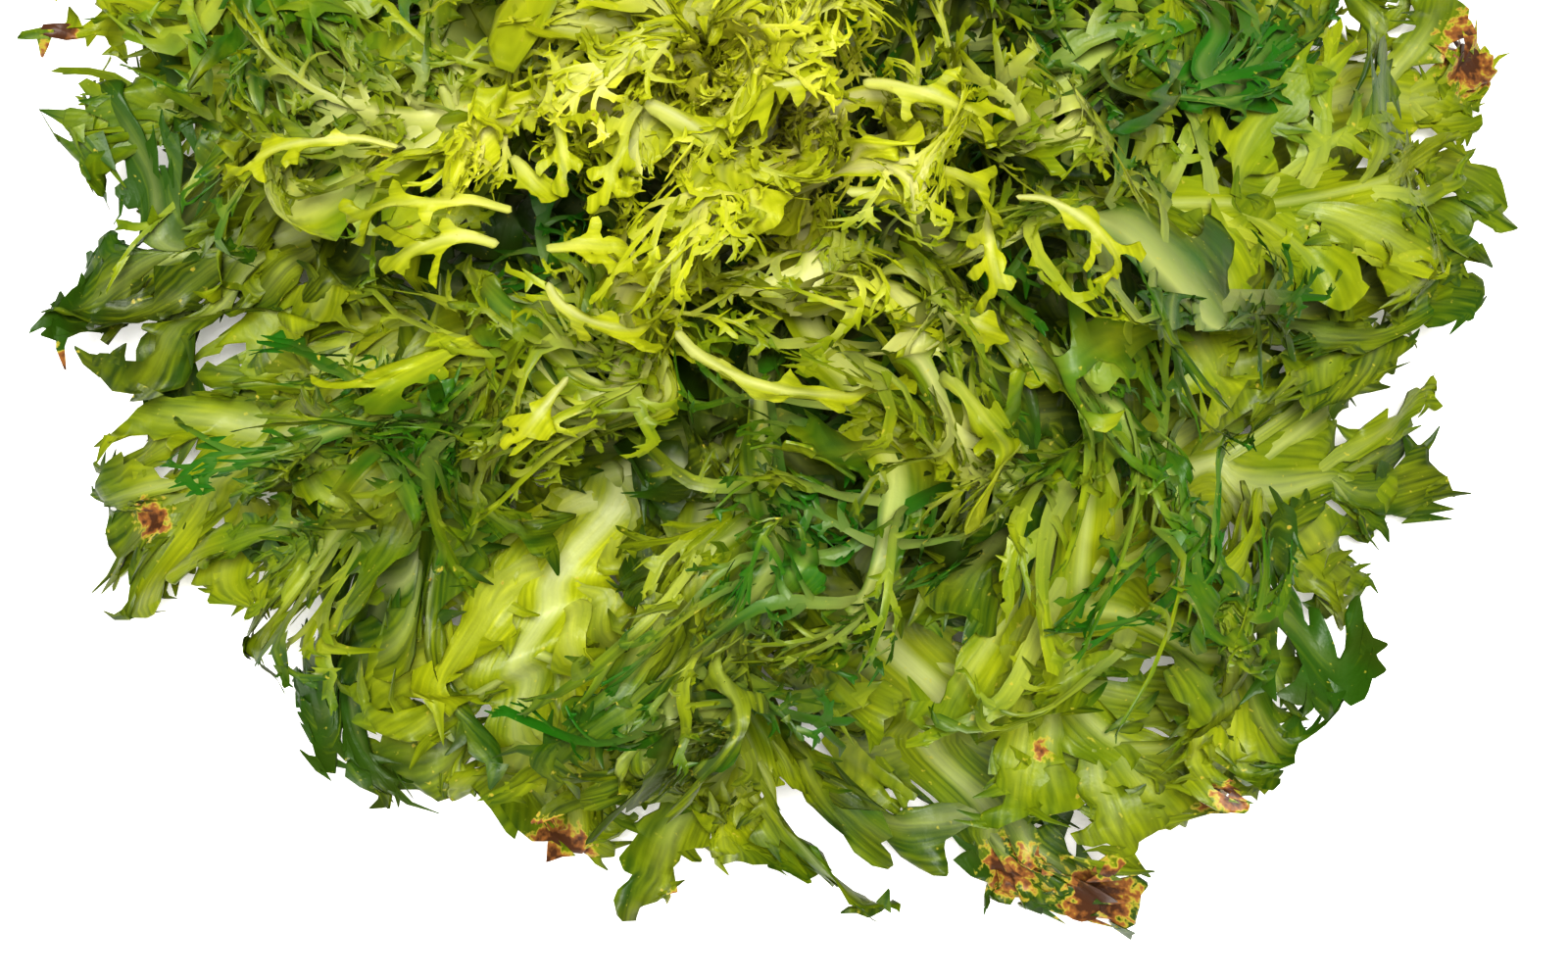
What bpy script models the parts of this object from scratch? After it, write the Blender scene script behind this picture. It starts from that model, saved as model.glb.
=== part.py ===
"""A whole head of frisee (curly endive), cut from its root and standing on the cut stem.

The leaves grow from a short cone of stem in tiers, one above the other, as in the plant: long green
leaves lie out on the table, shorter and paler ones arch over them, and a small yellow heart closes
the top. Every leaf is a solid of its own. It is laid out flat first, in millimetres along its rib
(u), across it (v) and out of its face (w), and is then laid on its tier's curved surface.
"""

import math
import random
from collections import namedtuple

import bmesh
import bpy
from mathutils import Vector

MM = 0.001
SEED = 41

# Driving dimensions, in millimetres
HEAD_RADIUS = 190.0  # how far the longest leaves reach from the axis
HEART_RADIUS = 62.0  # how far the uppermost ring of leaves reaches
HEAD_HEIGHT = 128.0  # tip height of the uppermost ring of leaves
STEM_RADIUS = 19.0  # the stem where the lowest leaves leave it
STEM_TOP_RADIUS = 10.0
LOWEST_LEAF = 8.0  # height at which the lowest leaves leave the stem
HIGHEST_LEAF = 33.0
TIP_CLEARANCE = 5.0  # height of the lowest leaf tips' mid-surface above the table
STEM_GAP = 0.9  # between the stem's cone and the leaves' mid-surface at their base
BLADE = 0.9  # thickness of a leaf's blade
RIB = 4.0  # thickness of a rib at its base
RIB_HALF_WIDTH, RIB_TIP_HALF_WIDTH = 6.2, 1.7
LONGEST_LOBE, SHORTEST_LOBE = 46.0, 3.0
END_POINT = 6.0  # the middle point of the leaf's end, past its length
LEAN = -12.0  # how far the heart stands to one side of the stem
SWAY = 8.0  # how far the outer part of the head is pushed off its round plan
WIDEST_WAVE = 9.0
TABLE_GAP = 1.0  # between the table and the lowest lobes
SIDE_GAP = 0.4  # kept free on each side of a leaf, next to its neighbour's half

# One row a tier, from the table up to the heart: how many leaves, how many lobes on each side, the
# width in millimetres of the blade that runs on beside the rib between lobes, and the sRGB colour
Tier = namedtuple("Tier", "name leaves lobes wing colour")
TIERS = (
    Tier("table_leaf", 9, 6, 10.0, "5E8A2A"),
    Tier("outer_leaf", 9, 6, 8.5, "6B9630"),
    Tier("green_leaf", 8, 7, 6.0, "7BA436"),
    Tier("middle_leaf", 7, 7, 4.5, "93B23C"),
    Tier("pale_leaf", 7, 6, 3.5, "ACBF45"),
    Tier("yellow_leaf", 6, 6, 3.0, "C3CC58"),
    Tier("inner_leaf", 6, 6, 3.0, "D3D76A"),
)
HEART_TIERS = (
    Tier("heart", 5, 5, 3.0, "DEDF86"),
    Tier("heart", 4, 5, 3.0, "DEDF86"),
)
STEM_COLOUR = "D9CFA6"

# Shares and angles
SAMPLES = 120  # points on each tier's profile
SHARE_OF_ROOM = 0.36  # how much of the space to the next tier a leaf's waves may use
KEEL_SHARE_OF_ROOM = 0.62  # and the rib with its keel
SECTOR_USED = 0.93  # how much of its share of the circle a leaf may fill
SHORTEST_LEAF = 0.88  # of its tier's length
FIRST_LOBE, LAST_LOBE = 0.14, 0.93  # where along the leaf its lobes begin and end
LOBE_ROOT = 0.6  # of a lobe's share of the rib, the rest is the gap to the next lobe
LOBE_SWEEP = math.radians(52)  # between a lobe and the rib
LOW_LOBES, END_LOBES = 0.8, 0.66  # lobe length near the leaf's base and end
BACK_TIP, NOTCH = 0.82, 0.58  # of a lobe's length: its hind point, and the notch before it
RIB_WAVE = 0.35  # how much of the lobes' wave the rib follows
FIRST_LEAF = math.radians(6)  # where the count of each tier's leaves starts
SWIRL = math.radians(9)  # how far a tier's leaves bend round the head
HEIGHT_SWAY = 0.13  # how much the outer leaves' height changes round the head

# How far the head spreads, every 15 degrees anticlockwise from +X, as shares of HEAD_RADIUS
REACH = (
    0.95, 1.01, 1.06, 1.05, 1.03, 1.01, 0.99, 0.98, 0.96, 0.96, 0.96, 0.94,
    0.96, 1.08, 1.01, 0.94, 1.04, 1.01, 0.92, 1.01, 1.07, 1.08, 0.97, 1.01,
)


def mix(low, high, share):
    """The value that lies this share of the way from low to high."""
    return low + (high - low) * share


def smooth_step(low, high, value):
    """0 below low, 1 above high and an even ease between them."""
    share = min(1.0, max(0.0, (value - low) / (high - low)))
    return share * share * (3 - 2 * share)


def ring_curve(level):
    """A tier's curve as control points (radius, height). level is 0 for the lowest, 1 for the top."""
    return (
        (mix(STEM_RADIUS, STEM_TOP_RADIUS, level), mix(LOWEST_LEAF, HIGHEST_LEAF, level)),
        (mix(62, 17, level), mix(38, 80, level)),
        (mix(122, 24, level**1.25), mix(50, 140, level**0.85)),
        (
            HEAD_RADIUS - (HEAD_RADIUS - HEART_RADIUS) * level**2.2,
            mix(TIP_CLEARANCE, HEAD_HEIGHT, level**1.1),
        ),
    )


def heart_curve(level):
    """The same for the heart's small leaves: level is 0 for the outer of its two rings."""
    bottom = HIGHEST_LEAF + mix(10, 14, level)
    return (
        (mix(3.0, 1.8, level), bottom),
        (mix(9, 4, level), bottom + 42),
        (mix(6, 3, level), HEAD_HEIGHT + mix(6, 12, level)),
        (mix(40, 20, level), HEAD_HEIGHT + mix(3, 11, level)),
    )


class Profile:
    """A tier's curve in the plane of radius and height, from the stem to the leaf's tip."""

    def __init__(self, control_points):
        base, rise, fall, tip = (Vector(point) for point in control_points)
        self.points = []
        for index in range(SAMPLES + 1):
            t = index / SAMPLES
            self.points.append(
                base * (1 - t) ** 3
                + rise * 3 * (1 - t) ** 2 * t
                + fall * 3 * (1 - t) * t**2
                + tip * t**3
            )
        self.room = [1e9] * len(self.points)
        self.along = [0.0]
        for before, after in zip(self.points, self.points[1:]):
            self.along.append(self.along[-1] + (after - before).length)
        self.length = self.along[-1]

    def keep_clear_of(self, other):
        """Notes how near another tier's curve comes to each point of this one."""
        for index, point in enumerate(self.points):
            nearest = min((point - theirs).length for theirs in other.points)
            self.room[index] = min(self.room[index], nearest)

    def at(self, u):
        """(point, direction, room) at this length from the stem, straight on past the tip."""
        index = 0
        while index < SAMPLES - 1 and self.along[index + 1] < u:
            index += 1
        start, end = self.points[index], self.points[index + 1]
        direction = (end - start).normalized()
        point = start + direction * (u - self.along[index])
        share = min(1.0, max(0.0, (u - self.along[index]) / (end - start).length))
        return point, direction, mix(self.room[index], self.room[index + 1], share)


def make_profiles():
    """The curves of all tiers, each knowing the room that its neighbours leave it."""
    last = len(TIERS) - 1
    profiles = [Profile(ring_curve(k / last)) for k in range(len(TIERS))]
    profiles += [Profile(heart_curve(k)) for k in range(len(HEART_TIERS))]
    for lower, upper in zip(profiles, profiles[1:]):
        lower.keep_clear_of(upper)
        upper.keep_clear_of(lower)
    return profiles


def reach(turn):
    """How far the head spreads in this direction: an even ease from one entry of REACH to the next."""
    place = (turn % math.tau) / math.tau * len(REACH)
    before = int(place) % len(REACH)
    after = (before + 1) % len(REACH)
    return mix(REACH[before], REACH[after], smooth_step(0, 1, place - int(place)))


def sway(point):
    """Bends the whole head gently, so that no two sides of it are alike. Tiers stay nested."""
    x, y, z = point
    ease = smooth_step(STEM_RADIUS + 3, HEAD_RADIUS / 2, math.hypot(x, y))
    lean = LEAN * smooth_step(HIGHEST_LEAF - 3, HEAD_HEIGHT, z)
    spread = mix(1.0, reach(math.atan2(y, x)), ease)
    x, y = x * spread, y * spread
    return Vector(
        (
            x + lean + ease * SWAY * math.sin(z / 34 + y / 47 + 0.6),
            y + ease * SWAY * math.sin(x / 51 + z / 37 + 2.4),
            z * (1 + HEIGHT_SWAY * ease * math.sin(x / 41 + 1.1) * math.cos(y / 53 + 0.4)),
        )
    )


class Leaf:
    """Where one leaf lies, how long it is and how its lobes fall."""

    def __init__(self, tier, profile, index, offset, number):
        draw = random.Random(SEED * 1000 + number)
        self.tier, self.profile = tier, profile
        self.azimuth = FIRST_LEAF + math.tau * (index + offset) / tier.leaves
        self.length = profile.length * draw.uniform(SHORTEST_LEAF, 1.0)
        self.sector = math.pi / tier.leaves * SECTOR_USED
        self.swirl = SWIRL * math.sin(2.4 * offset + 1)
        self.phase = draw.uniform(0, math.tau)
        self.lobes = {
            side: [
                (draw.uniform(0.8, 1.0), draw.uniform(0.65, 1.0), draw.choice((-1, 1)))
                for _ in range(tier.lobes)
            ]
            for side in (-1, 1)
        }

    def half_width(self, u):
        """The most that the leaf may reach to each side of its rib here."""
        point, _, _ = self.profile.at(u)
        return point.x * self.sector - SIDE_GAP

    def wave(self, u, share):
        """An offset out of the tier's surface, as a share of what its neighbours leave."""
        (_, height), _, room = self.profile.at(u)
        limit = min(WIDEST_WAVE, SHARE_OF_ROOM * room - BLADE / 2)
        return max(share * limit, TABLE_GAP + BLADE - height)

    def place(self, u, v, w):
        """The point of the head, in millimetres, for a point of the flat leaf."""
        (radius, height), (out, up), _ = self.profile.at(u)
        radius_w, height_w = radius - up * w, height + out * w
        turn = self.azimuth + self.swirl * (u / self.length) ** 2 + v / radius
        return sway(
            (radius_w * math.cos(turn), radius_w * math.sin(turn), height_w)
        )


class Sheet:
    """A leaf's face as points and triangles, which close into a solid of a given thickness."""

    def __init__(self, leaf):
        self.leaf = leaf
        self.points = []
        self.triangles = []

    def add(self, u, v, w, thickness, keel=0.0):
        """A point of the mid-surface. keel is how far the rib stands out below it."""
        self.points.append((u, v, w, thickness, keel))
        return len(self.points) - 1

    def solid(self, name):
        """The closed mesh: the upper face, the same triangles below, and a wall between."""
        mesh = bmesh.new()
        upper = [
            mesh.verts.new(self.leaf.place(u, v, w + thick / 2) * MM)
            for u, v, w, thick, keel in self.points
        ]
        lower = [
            mesh.verts.new(self.leaf.place(u, v, w - thick / 2 - keel) * MM)
            for u, v, w, thick, keel in self.points
        ]
        edges = set()
        for a, b, c in self.triangles:
            mesh.faces.new((upper[a], upper[b], upper[c]))
            mesh.faces.new((lower[c], lower[b], lower[a]))
            edges.update(((a, b), (b, c), (c, a)))
        for a, b in sorted(edges):
            if (b, a) not in edges:
                mesh.faces.new((upper[b], upper[a], lower[a]))
                mesh.faces.new((upper[b], lower[a], lower[b]))
        bmesh.ops.recalc_face_normals(mesh, faces=mesh.faces)
        data = bpy.data.meshes.new(name)
        mesh.to_mesh(data)
        mesh.free()
        return data


def rib_rows(leaf, sheet):
    """The fleshy rib as rows of (u, left edge, middle, right edge), one at each side of a lobe."""
    tier, profile = leaf.tier, leaf.profile
    first, last = leaf.length * FIRST_LOBE, leaf.length * LAST_LOBE
    pitch = (last - first) / tier.lobes
    stations = [0.0]
    for k in range(tier.lobes):
        stations.append(first + pitch * (k + 0.5 - LOBE_ROOT / 2))
        stations.append(first + pitch * (k + 0.5 + LOBE_ROOT / 2))
    rows = []
    for u in stations:
        share = u / leaf.length
        wing = tier.wing * smooth_step(0.25, 0.6, share) * mix(1.0, 0.5, smooth_step(0.8, 1, share))
        edge = mix(RIB_HALF_WIDTH, RIB_TIP_HALF_WIDTH, share**0.6) + wing
        edge = min(edge, leaf.half_width(u))
        _, _, room = profile.at(u)
        keel = min(mix(RIB, BLADE, share**0.7), KEEL_SHARE_OF_ROOM * room) - BLADE
        w = leaf.wave(u, RIB_WAVE * math.sin(leaf.phase + 7 * share) * share)
        rows.append(
            (
                u,
                sheet.add(u, -edge, w, BLADE),
                sheet.add(u, 0, w - 0.2 * keel, BLADE, 0.8 * keel),
                sheet.add(u, edge, w, BLADE),
            )
        )
    for (_, l0, m0, r0), (_, l1, m1, r1) in zip(rows, rows[1:]):
        sheet.triangles += [(l0, m0, m1), (l0, m1, l1), (m0, r0, r1), (m0, r1, m1)]
    return rows


def add_lobe(leaf, sheet, side, low, high, draw):
    """A forked lobe on one side of the rib, between the rows low and high."""
    reach, fork, flip = draw
    column = 1 if side < 0 else 3
    (u_low, root_low), (u_high, root_high) = (low[0], low[column]), (high[0], high[column])
    edge = abs(sheet.points[root_low][1])
    forward, across = math.cos(LOBE_SWEEP), math.sin(LOBE_SWEEP)
    share = u_high / leaf.length
    outline = mix(LOW_LOBES, 1.0, smooth_step(0.1, 0.7, share))
    outline *= mix(1.0, END_LOBES, smooth_step(0.75, 1.0, share))
    limit = leaf.half_width(u_low) - edge
    length = min(LONGEST_LOBE, limit / across) * outline * reach
    if length < SHORTEST_LOBE:
        return
    spread = (u_high - u_low) / LOBE_ROOT * (1 - LOBE_ROOT) * 0.4

    def tip(u_root, along, shift, lift):
        u = u_root + along * length * forward + shift
        v = min(edge + along * length * across, leaf.half_width(u))
        return sheet.add(u, side * v, leaf.wave(u, lift), BLADE)

    back = tip(u_low, BACK_TIP * fork, -spread, 0.9 * flip)
    notch = tip((u_low + u_high) / 2, NOTCH, 0, 0.45 * flip)
    front = tip(u_high, 1.0, spread, -0.9 * flip)
    made = [
        (root_low, back, notch),
        (root_low, notch, root_high),
        (root_high, notch, front),
    ]
    sheet.triangles += made if side > 0 else [(a, c, b) for a, b, c in made]


def leaf_mesh(leaf, name):
    """One leaf: a keeled rib with forked lobes along both sides and a point at its end."""
    sheet = Sheet(leaf)
    rows = rib_rows(leaf, sheet)
    for side in (-1, 1):
        for k, draw in enumerate(leaf.lobes[side]):
            add_lobe(leaf, sheet, side, rows[2 * k + 1], rows[2 * k + 2], draw)
    u, left, middle, right = rows[-1]
    end = sheet.add(leaf.length + END_POINT, 0, leaf.wave(u, 0.5), BLADE)
    sheet.triangles += [(left, middle, end), (middle, right, end)]
    return sheet.solid(name)


def linear(value):
    """One sRGB channel as Blender's linear value."""
    return value / 12.92 if value <= 0.04045 else ((value + 0.055) / 1.055) ** 2.4


def plant_material(name, colour, roughness):
    """The plain finish of a sub-part."""
    material = bpy.data.materials.new(name)
    material.use_nodes = True
    shader = material.node_tree.nodes["Principled BSDF"]
    channels = [linear(int(colour[i : i + 2], 16) / 255) for i in (0, 2, 4)]
    shader.inputs["Base Color"].default_value = (*channels, 1)
    shader.inputs["Roughness"].default_value = roughness
    shader.inputs["Metallic"].default_value = 0.0
    return material


def add_object(name, data, material):
    """Puts a mesh in the scene as a named sub-part."""
    made = bpy.data.objects.new(name, data)
    data.materials.append(material)
    bpy.context.scene.collection.objects.link(made)
    return made


def turned_mesh(name, outline, sides):
    """A solid of revolution about Z from (radius, height) points, the first and last on the axis."""
    mesh = bmesh.new()
    rings = []
    for radius, height in outline:
        ring = []
        for i in range(1 if radius == 0 else sides):
            turn = math.tau * i / sides
            point = sway((radius * math.cos(turn), radius * math.sin(turn), height))
            ring.append(mesh.verts.new(point * MM))
        rings.append(ring)
    for low, high in zip(rings, rings[1:]):
        for i in range(sides):
            j = (i + 1) % sides
            corners = [low[i % len(low)], low[j % len(low)]]
            corners += [high[j % len(high)], high[i % len(high)]]
            mesh.faces.new(dict.fromkeys(corners))
    bmesh.ops.recalc_face_normals(mesh, faces=mesh.faces)
    data = bpy.data.meshes.new(name)
    mesh.to_mesh(data)
    mesh.free()
    return data


def make_stem():
    """The short cone of stem that the leaves grow from, cut flat where it stood on the root."""
    top = HIGHEST_LEAF + 3.5
    slope = (STEM_TOP_RADIUS - STEM_RADIUS) / (HIGHEST_LEAF - LOWEST_LEAF)

    def cone(height):
        return STEM_RADIUS + slope * (height - LOWEST_LEAF) - STEM_GAP

    outline = [
        (0, 0),
        (cone(0) - 3.0, 0),
        (cone(0) - 1.8, 1.2),
        (cone(3.0), 3.0),
        (cone(top), top),
        (cone(top) - 3.0, top + 1.8),
        (0, top + 2.6),
    ]
    material = plant_material("cut_stem", STEM_COLOUR, 0.6)
    add_object("cut_stem", turned_mesh("cut_stem", outline, 24), material).data.shade_smooth()


def make_ring(tier, profile, level, number):
    """All leaves of one tier, each its own object."""
    material = plant_material(tier.name, tier.colour, 0.5)
    for index in range(tier.leaves):
        leaf = Leaf(tier, profile, index, 0.38 * level, number + index)
        name = f"{tier.name}_{index + 1}"
        add_object(name, leaf_mesh(leaf, name), material)
    return number + tier.leaves


def make_heart(profiles, number):
    """The heart: two rings of small leaves, fused to the bud that they grow from."""
    base, top = HIGHEST_LEAF + 6.6, HIGHEST_LEAF + 40
    outline = [(0, base), (4.4, base), (6.0, base + 5), (5.6, top - 14), (3.0, top), (0, top + 3)]
    material = plant_material("heart", HEART_TIERS[0].colour, 0.5)
    bud = add_object("heart", turned_mesh("heart", outline, 10), material)
    folded = bpy.data.collections.new("heart_leaves")
    for level, (tier, profile) in enumerate(zip(HEART_TIERS, profiles)):
        for index in range(tier.leaves):
            leaf = Leaf(tier, profile, index, 0.4 * level, number)
            name = f"heart_leaf_{number}"
            folded.objects.link(bpy.data.objects.new(name, leaf_mesh(leaf, name)))
            number += 1
    join = bud.modifiers.new("join", "BOOLEAN")
    join.operation, join.operand_type, join.collection = "UNION", "COLLECTION", folded
    graph = bpy.context.evaluated_depsgraph_get()
    joined = bpy.data.meshes.new_from_object(bud.evaluated_get(graph))
    bud.modifiers.clear()
    bud.data = joined
    for helper in list(folded.objects):
        bpy.data.objects.remove(helper)
    bpy.data.collections.remove(folded)


def main():
    for old in list(bpy.data.objects):
        bpy.data.objects.remove(old)
    profiles = make_profiles()
    make_stem()
    number = 0
    for level, tier in enumerate(TIERS):
        number = make_ring(tier, profiles[level], level, number)
    make_heart(profiles[len(TIERS) :], number)


main()
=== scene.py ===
"""A head of frisee dressed for its picture: every leaf of the frame grown again as a fine frilled one.

The rules of the rosette are those of the frame: tiers of leaves, each on a curved surface of its own.
A leaf is laid out flat in millimetres along its rib (u), across it (v) and out of its face (w). Each
of its lobes follows a ribbon there, with a bend, a curl and a twist of its own. The rib and the broad
lobes are blades cut out of a grid, with twigs, teeth and sharp points. The fine lobes are thin antlers
that fork. The whole leaf is then crumpled a little and laid on its tier's surface.
"""

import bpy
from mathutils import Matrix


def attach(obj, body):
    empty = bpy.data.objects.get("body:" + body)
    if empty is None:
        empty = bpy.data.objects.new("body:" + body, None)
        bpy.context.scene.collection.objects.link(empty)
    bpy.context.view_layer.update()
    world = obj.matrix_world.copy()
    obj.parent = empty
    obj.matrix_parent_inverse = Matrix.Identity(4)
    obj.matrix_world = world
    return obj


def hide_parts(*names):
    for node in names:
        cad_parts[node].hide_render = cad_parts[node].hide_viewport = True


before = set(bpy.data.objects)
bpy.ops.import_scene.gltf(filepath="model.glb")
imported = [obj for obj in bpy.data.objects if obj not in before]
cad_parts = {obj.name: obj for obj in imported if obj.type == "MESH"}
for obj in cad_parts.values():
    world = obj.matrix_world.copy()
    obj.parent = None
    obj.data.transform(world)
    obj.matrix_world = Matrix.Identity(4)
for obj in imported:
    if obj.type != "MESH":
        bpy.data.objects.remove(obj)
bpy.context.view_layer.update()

import copy
import math
import random
from collections import namedtuple

import bpy
import numpy as np
from bpy.props import FloatProperty, FloatVectorProperty, PointerProperty
from mathutils import Vector

bl_info = {
    "name": "Frisee head",
    "version": (1, 0, 0),
    "blender": (4, 5, 0),
    "location": "3D View > Sidebar > Frisee",
    "description": "Grows the frilled leaves of a head of frisee round its stem and sets the stage",
    "category": "Object",
}

MM = 0.001
SEED = 41

# The frame's driving dimensions, in millimetres
HEAD_RADIUS = 190.0
HEART_RADIUS = 62.0
HEAD_HEIGHT = 128.0
STEM_RADIUS = 19.0
STEM_TOP_RADIUS = 10.0
LOWEST_LEAF = 8.0
HIGHEST_LEAF = 33.0
TIP_CLEARANCE = 5.0
CAD_BLADE = 0.9
RIB_HALF_WIDTH, RIB_TIP_HALF_WIDTH = 6.2, 1.7
LONGEST_LOBE, SHORTEST_LOBE = 46.0, 3.0
END_POINT = 6.0
LEAN = -12.0
SWAY = 8.0
WIDEST_WAVE = 9.0
TABLE_GAP = 1.0
SIDE_GAP = 0.4

Tier = namedtuple("Tier", "name leaves lobes wing")
TIERS = (
    Tier("table_leaf", 9, 6, 10.0),
    Tier("outer_leaf", 9, 6, 8.5),
    Tier("green_leaf", 8, 7, 6.0),
    Tier("middle_leaf", 7, 7, 4.5),
    Tier("pale_leaf", 7, 6, 3.5),
    Tier("yellow_leaf", 6, 6, 3.0),
    Tier("inner_leaf", 6, 6, 3.0),
)
HEART_RINGS = ((5, 0.0), (5, 0.5), (4, 1.0))  # small leaves in each ring of the heart, and its level
HEART_LOBES = 5

# The frame's shares and angles
SAMPLES = 120
SHARE_OF_ROOM = 0.36
SECTOR_USED = 0.93
SHORTEST_LEAF = 0.88
FIRST_LOBE, LAST_LOBE = 0.14, 0.93
LOBE_ROOT = 0.6
LOBE_SWEEP = math.radians(52)
LOW_LOBES, END_LOBES = 0.8, 0.66
BACK_TIP = 0.82
RIB_WAVE = 0.35
FIRST_LEAF = math.radians(6)
SWIRL = math.radians(9)
HEIGHT_SWAY = 0.13
REACH = (
    0.95, 1.01, 1.06, 1.05, 1.03, 1.01, 0.99, 0.98, 0.96, 0.96, 0.96, 0.94,
    0.96, 1.08, 1.01, 0.94, 1.04, 1.01, 0.92, 1.01, 1.07, 1.08, 0.97, 1.01,
)

ON_TABLE = 4.0  # leaves that would sink below this height, in millimetres, are eased onto the table
CROWN = 134.0  # and those that would stand higher than this are eased down under TOP
TOP = 147.0

# How each tier's leaves are cut. mesh is the width of the grid that its blades are cut from, and fine
# is the share of its lobes that are thin antlers instead of blades. lobe and twig_half are half widths,
# keel is the rib's depth, and twig and frill are lengths, all in millimetres. twigs is how many points
# grow on each lobe, frills how many teeth on each of those, and fringe how many short lobes stand on
# the rib's own blade. stand is how steeply lobes leave the leaf, in radians, and curl how far they and
# their twigs curl. crumple is how far the leaf is crumpled, in millimetres. pale is how much rib flesh
# shows in its lobes. green_low and green_high are how green the leaf is at its base and at its tip,
# from 0, blanched, to 1, grown in full sun.
Cut = namedtuple(
    "Cut",
    "mesh fine lobe twigs twig twig_half frills frill fringe"
    " stand curl crumple pale green_low green_high keel",
)
CUTS = {
    "table_leaf": Cut(2.75, 0.0, 2.6, 7, 10.5, 1.9, 1, 4.0, 8, 0.20, 0.7, 3.0, 0.70, 0.50, 0.78, 3.6),
    "outer_leaf": Cut(2.7, 0.0, 2.3, 7, 10.0, 1.7, 1, 4.0, 8, 0.35, 0.9, 4.0, 0.65, 0.52, 0.80, 3.6),
    "green_leaf": Cut(2.2, 0.45, 1.7, 6, 9.0, 1.4, 2, 3.2, 6, 0.50, 1.2, 5.0, 0.6, 0.48, 0.78, 3.4),
    "middle_leaf": Cut(1.5, 0.8, 1.25, 6, 9.5, 0.75, 3, 3.2, 10, 0.75, 1.6, 6.0, 0.5, 0.50, 0.88, 3.2),
    "pale_leaf": Cut(1.5, 0.85, 1.2, 6, 9.5, 0.7, 3, 3.2, 9, 0.80, 1.7, 6.0, 0.5, 0.36, 0.86, 3.0),
    "yellow_leaf": Cut(1.5, 0.85, 1.2, 7, 9.0, 0.7, 3, 3.0, 9, 0.80, 1.7, 5.0, 0.85, 0.14, 0.66, 2.8),
    "inner_leaf": Cut(1.5, 0.85, 1.2, 7, 8.5, 0.7, 3, 3.0, 8, 0.80, 1.7, 4.0, 1.0, 0.08, 0.44, 2.6),
    "heart": Cut(1.5, 0.85, 1.1, 5, 8.0, 0.7, 2, 2.8, 5, 0.65, 1.7, 3.0, 1.0, 0.04, 0.34, 2.2),
}
CROWN_CUT = CUTS["heart"]._replace(mesh=1.2, twigs=5, twig=11.0, twig_half=0.8, curl=1.0)
CROWN_RIB_GREEN, CROWN_RIB_FLESH = 0.38, 0.75
POINTED = 0.2  # the share of a broad blade's outline that bears sharp points
# How long those points are, their half width and how deep they root, then half widths of antlers and
# teeth, all in millimetres
POINT_LENGTH, POINT_HALF, POINT_ROOT = (3.5, 8.5), (0.8, 1.5), 1.2
THICKEST_ANTLER, TOOTH_HALF = 2.4, 0.55
COVERED = 0.5  # the share of a leaf from its base that the tiers above mostly cover
BLADE = 0.75  # how thick a blade is, in millimetres

# The picture and its camera: sizes in pixels, then millimetres of film, then metres
PICTURE_WIDTH, PICTURE_HEIGHT = 1600, 1000
LENS, FILM_WIDTH = 50.0, 36.0
CAMERA_DISTANCE = 0.605
CAMERA_HEIGHT = math.radians(80)
LOOKED_AT = (0.005, -0.077, 0.0)

# How high the curls of the crown stand, in millimetres, at these distances from its middle
CROWN_MIDDLE = -10.0
CROWN_DISTANCES, CROWN_HEIGHTS = (0, 40, 62, 104, 137), (143, 141, 136, 117, 95)

# Cream ribs that lie bare on the crown, as they show in the picture: where each begins and its length,
# in pixels, its heading in degrees, its bend in radians and its half width in millimetres
BareRib = namedtuple("BareRib", "x y heading length bend half")
BARE_RIBS = (
    BareRib(556, 288, -70, 160, 2.4, 2.6),
    BareRib(690, 335, -55, 300, 2.0, 3.0),
    BareRib(557, 240, 0, 80, 0.0, 2.4),
    BareRib(790, 72, 5, 60, 0.0, 2.2),
    BareRib(890, 70, -10, 140, -0.4, 3.2),
    BareRib(665, 95, -30, 105, -0.1, 4.5),
    BareRib(650, 95, -120, 110, 0.5, 1.3),
    BareRib(515, 205, 170, 175, 0.5, 2.2),
    BareRib(500, 235, 165, 120, 1.1, 2.8),
    BareRib(520, 150, -50, 50, 0.2, 3.0),
    BareRib(400, 140, 170, 190, 0.8, 1.8),
    BareRib(870, 182, -5, 70, 0.1, 2.6),
    BareRib(905, 145, -22, 115, 0.0, 2.4),
    BareRib(1045, 195, -5, 150, -1.3, 1.8),
    BareRib(560, 62, -86, 130, 0.2, 2.2),
    BareRib(575, 380, -120, 85, -0.3, 2.0),
    BareRib(1010, 205, -100, 90, 0.6, 1.6),
    BareRib(970, 310, -30, 60, 0.4, 2.2),
)

# How a thin ribbon's half width runs along it, at its root, at four tenths and at its end, as shares of
# its own, and the points round it
Shape = namedtuple("Shape", "root middle end around")
ANTLER = Shape(1.4, 1.0, 0.7, 4)
TWIG = Shape(1.5, 0.85, 0.6, 3)
TOOTH = Shape(1.5, 0.8, 0.3, 3)
POINT = Shape(1.7, 1.0, 0.25, 3)
ROUND = {  # across and face of the points round a ribbon: left margin, over the top, right, under
    3: ((1.0, 0.0, -1.0), (0, 1, 0)),
    4: ((1.0, 0.0, -1.0, 0.0), (0, 1, 0, -1)),
}

# What is kept for the shader at each point: how much of it is rib flesh, how green it is, how dried,
# and its place across and along its ribbon in millimetres
MARKS = ("flesh", "green", "wither", "across", "along")


def mix(low, high, share):
    """The value that lies this share of the way from low to high."""
    return low + (high - low) * share


def smooth_step(low, high, value):
    """0 below low, 1 above high and an even ease between them. It falls where low is the larger."""
    share = np.clip((value - low) / (high - low), 0.0, 1.0)
    return share * share * (3 - 2 * share)


def unit(vectors):
    """The same directions at length 1."""
    return vectors / np.linalg.norm(vectors, axis=-1, keepdims=True)


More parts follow.
